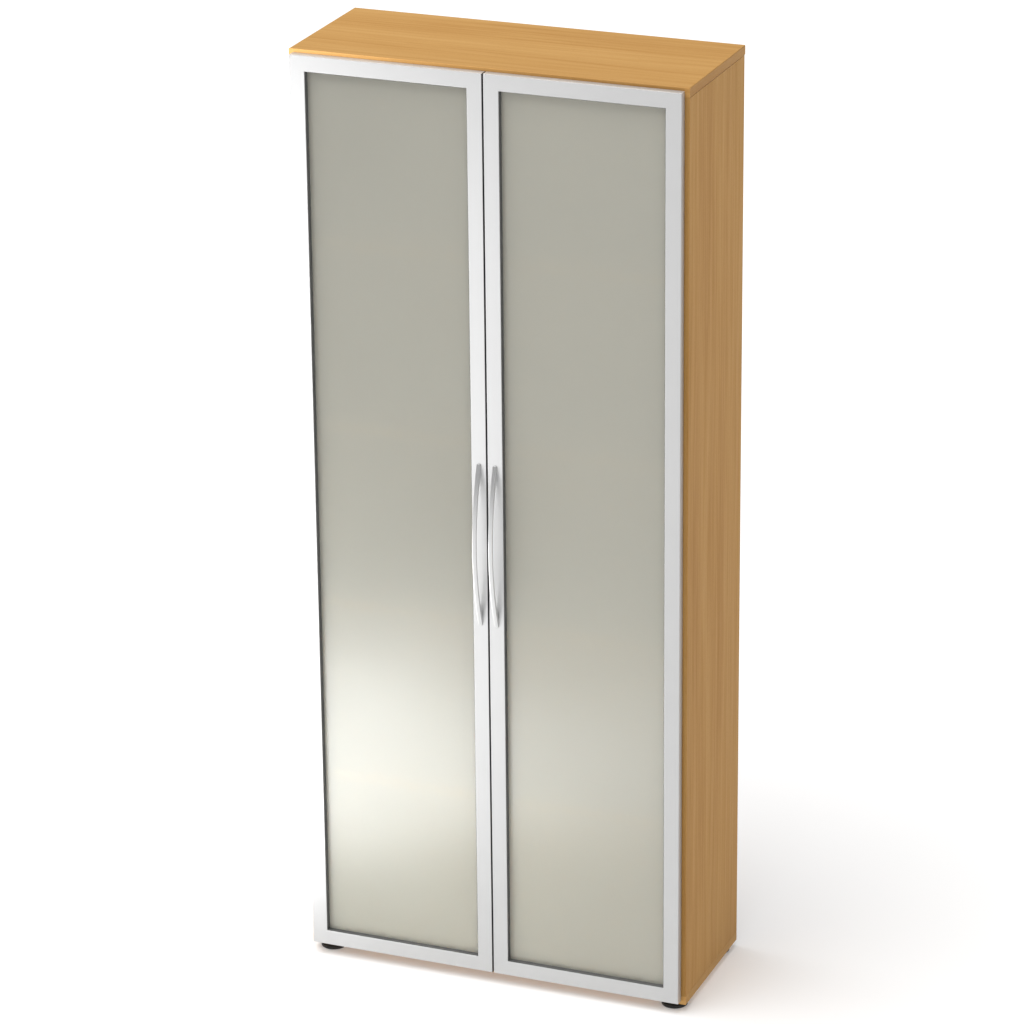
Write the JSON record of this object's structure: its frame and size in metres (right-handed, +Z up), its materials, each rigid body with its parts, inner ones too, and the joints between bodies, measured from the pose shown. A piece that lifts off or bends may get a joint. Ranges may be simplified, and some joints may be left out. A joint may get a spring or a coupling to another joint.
{
  "type": "tall two-door office cupboard",
  "caption": "Tall beech-decor storage cupboard with satin-glass doors in aluminium frames, vertical bow handles, inner shelves and round levelling feet.",
  "frame": {"origin": "bottom centre of the whole object's box, on the floor, doors closed", "axes": "+Z up, +X to the right seen from the front, the doors face -Y"},
  "size_m": [0.8, 0.36, 1.884],
  "materials": {
    "beech_board": "melamine-faced chipboard, beech decor, fine straight grain, satin",
    "beech_edging": "2 mm edge banding in beech decor, rounded",
    "back_board": "lacquered hardboard, light grey",
    "silver_profile": "silver anodised, fine lengthwise brushing",
    "satin_glass": "satin-etched toughened glass",
    "gasket": "matt dark grey",
    "satin_handle": "satin nickel",
    "hinge_steel": "nickel-plated pressed steel",
    "zinc_casting": "bright zinc die casting",
    "screw_steel": "zinc-plated",
    "black_plastic": "black moulded polyamide",
    "bumper": "soft translucent elastomer",
    "dowel_wood": "raw beech"
  },
  "bodies": {
    "carcass": {"top_board": "beech_board", "bottom_board": "beech_board", "side_left": "beech_board", "side_right": "beech_board", "shelf_1": "beech_board", "shelf_2": "beech_board", "shelf_3": "beech_board", "shelf_4": "beech_board", "top_board_edging": "beech_edging", "bottom_board_edging": "beech_edging", "side_edgings": "beech_edging", "shelf_edgings": "beech_edging", "back_panel": "back_board", "back_panel_screws": "screw_steel", "shelf_pins": "screw_steel", "cam_bolts": "screw_steel", "hinge_plate_screws": "screw_steel", "hinge_arm_screws": "screw_steel", "cam_housings": "zinc_casting", "wood_dowels": "dowel_wood", "foot_inserts": "black_plastic", "hinge_arms_left": "hinge_steel", "hinge_arms_right": "hinge_steel", "hinge_plates_left": "hinge_steel", "hinge_plates_right": "hinge_steel"},
    "door_left": {"door_left_stile_outer": "silver_profile", "door_left_stile_inner": "silver_profile", "door_left_rail_top": "silver_profile", "door_left_rail_bottom": "silver_profile", "door_left_corner_brackets": "zinc_casting", "door_left_glass": "satin_glass", "door_left_gasket": "gasket", "door_left_handle": "satin_handle", "door_left_handle_screws": "screw_steel", "door_left_bumpers": "bumper", "door_left_hinge_cups": "zinc_casting", "door_left_hinge_pins": "hinge_steel", "door_left_hinge_cup_screws": "screw_steel"},
    "door_right": {"door_right_stile_outer": "silver_profile", "door_right_stile_inner": "silver_profile", "door_right_rail_top": "silver_profile", "door_right_rail_bottom": "silver_profile", "door_right_corner_brackets": "zinc_casting", "door_right_glass": "satin_glass", "door_right_gasket": "gasket", "door_right_handle": "satin_handle", "door_right_handle_screws": "screw_steel", "door_right_bumpers": "bumper", "door_right_hinge_cups": "zinc_casting", "door_right_hinge_pins": "hinge_steel", "door_right_hinge_cup_screws": "screw_steel"},
    "foot_front_left": {"foot_pad_front_left": "black_plastic", "foot_stem_front_left": "screw_steel"},
    "foot_front_right": {"foot_pad_front_right": "black_plastic", "foot_stem_front_right": "screw_steel"},
    "foot_rear_left": {"foot_pad_rear_left": "black_plastic", "foot_stem_rear_left": "screw_steel"},
    "foot_rear_right": {"foot_pad_rear_right": "black_plastic", "foot_stem_rear_right": "screw_steel"}
  },
  "joints": [
    {"name": "door_left_hinge", "type": "hinge", "parent": "carcass", "child": "door_left", "pos_m": [-0.3853, -0.1408, 0.951], "axis": [0, 0, -1], "range_deg": [0, 95]},
    {"name": "door_right_hinge", "type": "hinge", "parent": "carcass", "child": "door_right", "pos_m": [0.3853, -0.1408, 0.951], "axis": [0, 0, 1], "range_deg": [0, 95]},
    {"name": "foot_front_left_screw", "type": "slide", "parent": "carcass", "child": "foot_front_left", "axis": [0, 0, -1], "range_m": [0, 0.01]},
    {"name": "foot_front_right_screw", "type": "slide", "parent": "carcass", "child": "foot_front_right", "axis": [0, 0, -1], "range_m": [0, 0.01]},
    {"name": "foot_rear_left_screw", "type": "slide", "parent": "carcass", "child": "foot_rear_left", "axis": [0, 0, -1], "range_m": [0, 0.01]},
    {"name": "foot_rear_right_screw", "type": "slide", "parent": "carcass", "child": "foot_rear_right", "axis": [0, 0, -1], "range_m": [0, 0.01]}
  ]
}
